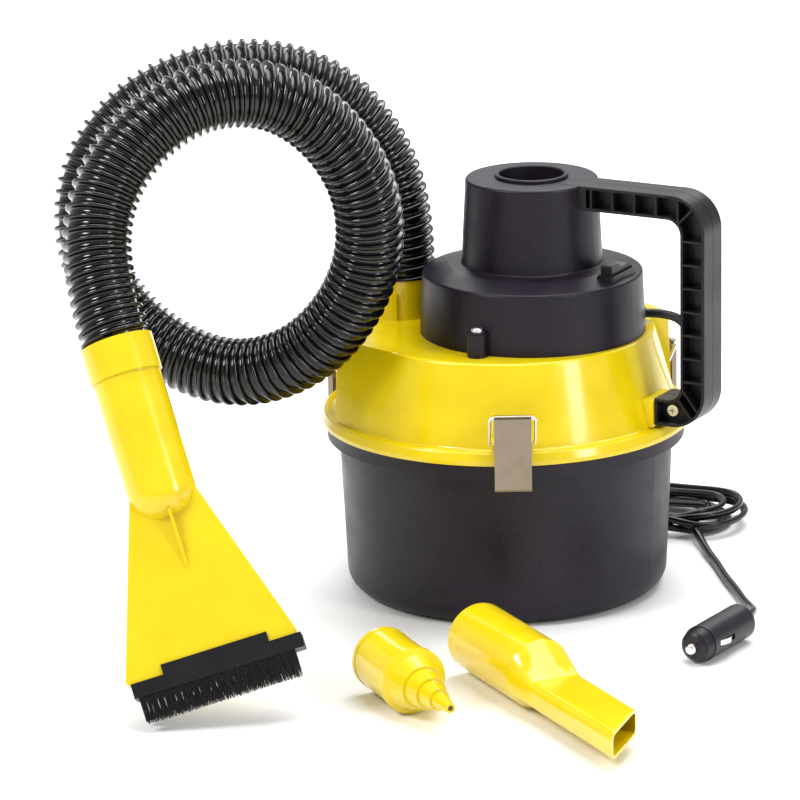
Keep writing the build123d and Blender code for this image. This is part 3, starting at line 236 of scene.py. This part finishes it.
def glossy_plastic(name, dark, light, roughness=0.2, coat=0.25, wave=55.0):
    """Polished moulding: even colour, faint flow waves under the gloss."""
    material, shader = new_material(name, light, roughness, coat=coat)
    cloud = add_noise(material, wave, 2.0)
    tint(material, shader, cloud, dark, light, 0.25, 0.75)
    vary(material, cloud, shader.inputs["Roughness"], roughness - 0.04, roughness + 0.05)
    add_bump(material, shader, cloud, 0.08, 0.0004)
    return material


def plated_metal(name, color, roughness, scratch=260.0):
    """Plated steel with faint handling marks."""
    material, shader = new_material(name, color, roughness, metallic=1.0)
    marks = add_noise(material, scratch, 4.0)
    vary(material, marks, shader.inputs["Roughness"], roughness * 0.7, roughness * 1.5)
    add_bump(material, shader, marks, 0.05, 0.0001)
    return material


def rubbery(name, color, roughness, grain=900.0):
    material, shader = new_material(name, color, roughness, specular=0.4)
    noise = add_noise(material, grain)
    light = [channel * 1.5 for channel in color]
    tint(material, shader, noise, color, light)
    add_bump(material, shader, noise, 0.15, 0.0001)
    return material


def foam(name, color):
    material, shader = new_material(name, color, 0.95, specular=0.1)
    noise = add_noise(material, 700.0, 4.0)
    tint(material, shader, noise, [channel * 0.4 for channel in color], color)
    add_bump(material, shader, noise, 0.8, 0.0008)
    return material


MATERIALS = {
    "black_plastic": grained_plastic("black_plastic", (0.002, 0.001, 0.003), (0.015, 0.009, 0.021), 0.4),
    "handle_black": grained_plastic(
        "handle_black", (0.003, 0.003, 0.004), (0.012, 0.010, 0.015), 0.36, 1800.0),
    "switch_black": grained_plastic(
        "switch_black", (0.003, 0.003, 0.004), (0.010, 0.009, 0.012), 0.38, 1800.0),
    "plug_black": grained_plastic("plug_black", (0.005, 0.004, 0.006), (0.020, 0.017, 0.024), 0.34, 1600.0),
    "yellow_plastic": glossy_plastic("yellow_plastic", (0.70, 0.52, 0.001), (0.76, 0.58, 0.002)),
    "hose_black": glossy_plastic(
        "hose_black", (0.001, 0.001, 0.001), (0.003, 0.002, 0.003), 0.16, 0.15, 90.0),
    "cord_black": rubbery("cord_black", (0.002, 0.002, 0.002), 0.26),
    "bristle_black": rubbery("bristle_black", (0.004, 0.004, 0.005), 0.45),
    "seal_rubber": rubbery("seal_rubber", (0.015, 0.015, 0.015), 0.6),
    "screw_steel": plated_metal("screw_steel", (0.75, 0.74, 0.72), 0.25),
    "latch_steel": plated_metal("latch_steel", (0.24, 0.20, 0.15), 0.18, 90.0),
    "latch_chrome": plated_metal("latch_chrome", (0.80, 0.79, 0.78), 0.16),
    "motor_steel": plated_metal("motor_steel", (0.55, 0.55, 0.56), 0.3),
    "fan_aluminium": plated_metal("fan_aluminium", (0.72, 0.73, 0.75), 0.35),
    "contact_metal": plated_metal("contact_metal", (0.85, 0.84, 0.82), 0.18),
    "inner_grey": grained_plastic("inner_grey", (0.05, 0.05, 0.055), (0.08, 0.08, 0.085), 0.5),
    "float_white": grained_plastic("float_white", (0.65, 0.65, 0.62), (0.75, 0.75, 0.72), 0.45),
    "filter_foam": foam("filter_foam", (0.10, 0.10, 0.10)),
}

for subpart in frame["record"]["subparts"]:
    mesh = nodes[subpart["node"]].data
    mesh.materials.clear()
    mesh.materials.append(MATERIALS[subpart["material_slot"]])


# ------------------------------------------------------------- shared pieces

def add_mesh(name, verts, faces, slot):
    """A mesh object of plain vertices and faces, finished from a record's slot."""
    mesh = bpy.data.meshes.new(name)
    mesh.from_pydata(verts, [], faces)
    mesh.validate()
    fix = bmesh.new()
    fix.from_mesh(mesh)
    bmesh.ops.recalc_face_normals(fix, faces=fix.faces)
    fix.to_mesh(mesh)
    fix.free()
    mesh.polygons.foreach_set("use_smooth", [True] * len(mesh.polygons))
    mesh.materials.append(MATERIALS[slot])
    piece = bpy.data.objects.new(name, mesh)
    bpy.context.scene.collection.objects.link(piece)
    return piece


def read_spline(route, steps):
    """The points of the smooth line that a route's NURBS spline follows."""
    data = bpy.data.curves.new("route", "CURVE")
    data.dimensions = "3D"
    data.resolution_u = steps
    spline = data.splines.new("NURBS")
    spline.points.add(len(route) - 1)
    for point, place in zip(spline.points, route):
        point.co = (*place, 1)
    spline.order_u = 3
    spline.use_endpoint_u = True
    guide = bpy.data.objects.new("route", data)
    bpy.context.scene.collection.objects.link(guide)
    line_mesh = bpy.data.meshes.new_from_object(guide)
    line = [vertex.co.copy() for vertex in line_mesh.vertices]
    bpy.data.meshes.remove(line_mesh)
    bpy.data.objects.remove(guide)
    bpy.data.curves.remove(data)
    return line


class Path:
    """A line with its running length, and a frame carried along it untwisted."""

    def __init__(self, line, first_side):
        self.line = line
        self.runs = [0.0]
        for before, here in zip(line, line[1:]):
            self.runs.append(self.runs[-1] + (here - before).length)
        self.length = self.runs[-1]
        self.tangents = []
        last = len(line) - 1
        for index in range(len(line)):
            ahead = line[min(index + 1, last)] - line[max(index - 1, 0)]
            self.tangents.append(ahead.normalized())
        side = Vector(first_side)
        self.sides = []
        for tangent in self.tangents:
            side = (side - tangent * side.dot(tangent)).normalized()
            self.sides.append(side)

    def at(self, distance):
        """Place, side and second side at a distance along the line."""
        distance = min(max(distance, 0.0), self.length)
        low, high = 0, len(self.runs) - 1
        while high - low > 1:
            middle = (low + high) // 2
            if self.runs[middle] <= distance:
                low = middle
            else:
                high = middle
        share = (distance - self.runs[low]) / max(self.runs[high] - self.runs[low], 1e-9)
        place = self.line[low].lerp(self.line[high], share)
        tangent = self.tangents[low].lerp(self.tangents[high], share).normalized()
        side = self.sides[low].lerp(self.sides[high], share)
        side = (side - tangent * side.dot(tangent)).normalized()
        return place, side, tangent.cross(side)


# --------------------------------------------------------------- ribbed hose

def make_hose():
    """A spiral-ribbed tube: each ring of points climbs one pitch in a full turn."""
    path = Path(read_spline(HOSE_ROUTE, HOSE_LINE_STEPS), (0, 1, 0))
    rib_height = HOSE_DIAMETER / 2 - HOSE_CORE_RADIUS
    pitches = int(path.length / HOSE_RIB_PITCH)
    pitch = path.length / pitches
    rings = []
    for index in range(-1, pitches):
        for share, height in RIB_PROFILE:
            rings.append(((index + share) * pitch, HOSE_CORE_RADIUS + rib_height * height))
    rings.append((path.length, HOSE_CORE_RADIUS))
    verts = []
    for distance, radius in rings:
        for step in range(HOSE_SIDES):
            turn = 2 * pi * step / HOSE_SIDES
            place, side, other = path.at(distance + pitch * step / HOSE_SIDES)
            verts.append(place + (side * cos(turn) + other * sin(turn)) * radius)
    faces = []
    profile_size = len(RIB_PROFILE)
    for ring in range(len(rings) - 1):
        for step in range(HOSE_SIDES):
            here = ring * HOSE_SIDES + step
            if step + 1 < HOSE_SIDES:
                faces.append((here, here + 1, here + HOSE_SIDES + 1, here + HOSE_SIDES))
            elif ring + profile_size + 1 < len(rings):
                seam = (ring + profile_size) * HOSE_SIDES
                faces.append((here, seam, seam + HOSE_SIDES, here + HOSE_SIDES))
    hose = add_mesh("hose_ribbed", verts, faces, "hose_black")
    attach(hose, "vacuum")
    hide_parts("hose")


# ------------------------------------------------------------- nozzle's brush

def nozzle_frame():
    """Origin, width, front and axis of the leaning nozzle."""
    top = Vector(HOSE_ROUTE[-1])
    axis = (Vector(HOSE_ROUTE[-2]) - top).normalized()
    level = axis.cross(Vector((0, 0, 1))).normalized()
    width = Quaternion(axis, NOZZLE_ROLL) @ level
    front = width.cross(axis)
    return top - axis * NOZZLE_COLLAR_END, width, front, axis


def make_bristles():
    """Rows of nylon bristles, each one a thin tapering blade with a slight splay."""
    corner, width, front, axis = nozzle_frame()
    for node, rows in BRISTLE_ROWS.items():
        verts = []
        faces = []
        for row, offset in enumerate(rows):
            for index in range(BRISTLES_PER_ROW):
                share = index / (BRISTLES_PER_ROW - 1)
                across = (2 * share - 1) * BRISTLE_HALF_WIDTH
                splay = 0.0006 * sin(index * 2.39 + row)
                spread = 0.0005 * sin(index * 1.7 + 2 * row)
                root = corner + width * across + front * offset + axis * BRISTLE_LENGTH
                tip = corner + width * (across * 0.995 + splay) + front * (offset + spread)
                tip += axis * (0.0004 * (1 + sin(index * 3.1)))
                first = len(verts)
                for centre, radius in ((root, BRISTLE_ROOT_RADIUS), (tip, BRISTLE_TIP_RADIUS)):
                    for side in range(3):
                        turn = 2 * pi * side / 3 + index
                        verts.append(centre + (width * cos(turn) + front * sin(turn)) * radius)
                for side in range(3):
                    following = (side + 1) % 3
                    faces.append((first + side, first + following, first + 3 + following, first + 3 + side))
                faces.append((first + 5, first + 4, first + 3))
        hairs = add_mesh(node.replace("bristles", "brush_hairs"), verts, faces, "bristle_black")
        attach(hairs, "vacuum")
        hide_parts(node)


# ---------------------------------------------------------------- power cord

def hank_point(along, across, height):
    turn = Matrix.Rotation(HANK_HEADING, 3, "Z")
    return HANK_CENTRE + turn @ Vector((along, across, 0)) + Vector((0, 0, height))


def hank_turns():
    """The points of each long oval turn, going left along the tank's side of it."""
    points = []
    for turn in range(HANK_TURNS):
        radius = HANK_RADIUS + HANK_RADIUS_CHANGES[turn] * MM
        reach = HANK_REACH + HANK_REACH_CHANGES[turn] * MM
        height = HANK_LAYERS[(turn * 2) % 3]
        lift = HANK_LAYERS[(turn * 2 + 1) % 3] - height
        for along in (0.5, -0.05, -0.6):
            points.append(hank_point(along * reach, -radius, height))
        for step in range(1, 6):
            angle = radians(-90 - 30 * step)
            across = radius * sin(angle)
            points.append(hank_point(-reach + radius * cos(angle), across, height + lift * 0.4))
        for along in (-0.6, 0.0, 0.6):
            points.append(hank_point(along * reach, radius, height + lift * 0.6))
        for step in range(1, 6):
            angle = radians(90 - 30 * step)
            points.append(hank_point(reach + radius * cos(angle), radius * sin(angle), height + lift))
    # the last turn stops short of its end, where the lead leaves the hank
    return points[:-HANK_TAIL]


def cord_section():
    """The twin cord's section: two round lobes side by side."""
    lobe = CORD_THICKNESS / 2
    centre = CORD_WIDTH / 2 - lobe
    right = [(centre + lobe * cos(radians(a)), lobe * sin(radians(a))) for a in LOBE_ANGLES]
    left = [(-x, -y) for x, y in right]
    return right + left


def make_cord():
    route = CORD_DROP + [tuple(point) for point in hank_turns()] + CORD_LEAD
    path = Path(read_spline(route, CORD_LINE_STEPS), (0, 0, 1))
    section = cord_section()
    size = len(section)
    verts = []
    for index, place in enumerate(path.line):
        side = path.sides[index]
        other = path.tangents[index].cross(side)
        for x, y in section:
            verts.append(place + side * x + other * y)
    faces = []
    for ring in range(len(path.line) - 1):
        for step in range(size):
            here = ring * size + step
            following = ring * size + (step + 1) % size
            faces.append((here, following, following + size, here + size))
    cord = add_mesh("cord_twin", verts, faces, "cord_black")
    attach(cord, "vacuum")
    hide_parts("power_cord", "cord_hank", "plug_lead")


make_bristles()
make_hose()
make_cord()


# ---------------------------------------------------------- floor and lights

def make_floor():
    half = 6.0
    verts = [(-half, -half, 0), (half, -half, 0), (half, half, 0), (-half, half, 0)]
    mesh = bpy.data.meshes.new("floor")
    mesh.from_pydata(verts, [], [(0, 1, 2, 3)])
    material, shader = new_material("floor_paper", (0.92, 0.92, 0.92), 0.6, specular=0.2)
    mesh.materials.append(material)
    floor = bpy.data.objects.new("floor", mesh)
    floor.location.z = -FLOOR_DROP
    bpy.context.scene.collection.objects.link(floor)


def add_light(name, place, aim, size, power):
    data = bpy.data.lights.new(name, "AREA")
    data.shape = "RECTANGLE"
    data.size = size[0]
    data.size_y = size[1]
    data.energy = power
    light = bpy.data.objects.new(name, data)
    light.location = place
    light.rotation_mode = "QUATERNION"
    light.rotation_quaternion = (Vector(aim) - Vector(place)).to_track_quat("-Z", "Y")
    bpy.context.scene.collection.objects.link(light)


make_floor()
world = bpy.data.worlds.new("studio")
world.use_nodes = True
world.node_tree.nodes["Background"].inputs["Color"].default_value = (1, 1, 1, 1)
world.node_tree.nodes["Background"].inputs["Strength"].default_value = 0.5
bpy.context.scene.world = world
bpy.context.scene.view_settings.view_transform = "Standard"
add_light("key", (-0.9, -1.6, 1.7), (0, 0, 0.1), (0.7, 0.7), 33)
add_light("right", (1.9, -0.4, 1.0), (0, 0, 0.12), (0.4, 1.0), 14)
add_light("behind", (-0.9, 1.9, 1.6), (-0.9, 2.3, 0), (2.6, 1.6), 60)
add_light("top", (0.1, 0.3, 2.0), (0, 0, 0.1), (1.6, 1.6), 40)
